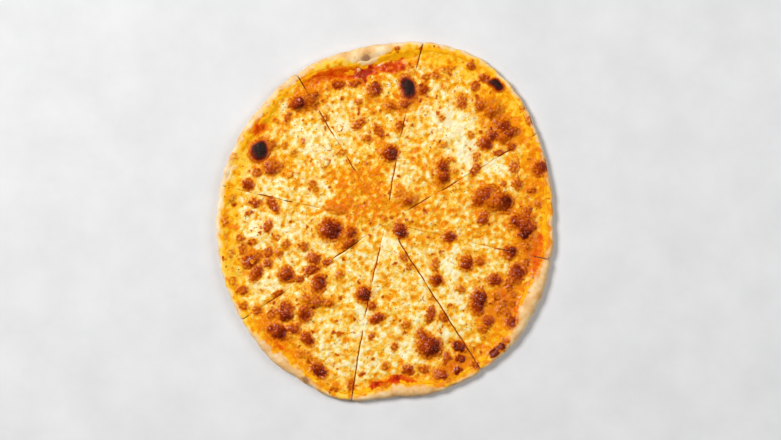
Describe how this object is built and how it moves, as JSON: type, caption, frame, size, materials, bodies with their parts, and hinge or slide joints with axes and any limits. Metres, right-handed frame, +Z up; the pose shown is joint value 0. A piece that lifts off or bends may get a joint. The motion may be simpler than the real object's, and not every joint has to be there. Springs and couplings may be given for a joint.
{
  "type": "margherita pizza",
  "caption": "Round thin-crust margherita pizza with a low uneven rim, red sauce and melted cheese, cut into slices that lie together.",
  "frame": {"origin": "middle of the pizza's outline, on the surface it lies on", "axes": "+Z up through the pizza, towards the cheese; +Y to the far side as the slices are seen in a plan view, which is the longer way across"},
  "size_m": [0.3256, 0.3478, 0.0111],
  "materials": {
    "baked_dough": "matte, dry baked dough, pale with toasted spots",
    "tomato_sauce": "moist red tomato sauce",
    "melted_cheese": "melted cheese, slightly oily, cream to yellow with browned bubbles"
  },
  "bodies": {
    "root": {"crust_1": "baked_dough", "crust_2": "baked_dough", "crust_3": "baked_dough", "crust_4": "baked_dough", "crust_5": "baked_dough", "crust_6": "baked_dough", "crust_7": "baked_dough", "crust_8": "baked_dough", "sauce_1": "tomato_sauce", "sauce_2": "tomato_sauce", "sauce_3": "tomato_sauce", "sauce_4": "tomato_sauce", "sauce_5": "tomato_sauce", "sauce_6": "tomato_sauce", "sauce_7": "tomato_sauce", "sauce_8": "tomato_sauce", "cheese_1": "melted_cheese", "cheese_2": "melted_cheese", "cheese_3": "melted_cheese", "cheese_4": "melted_cheese", "cheese_5": "melted_cheese", "cheese_6": "melted_cheese", "cheese_7": "melted_cheese", "cheese_8": "melted_cheese"}
  },
  "joints": []
}
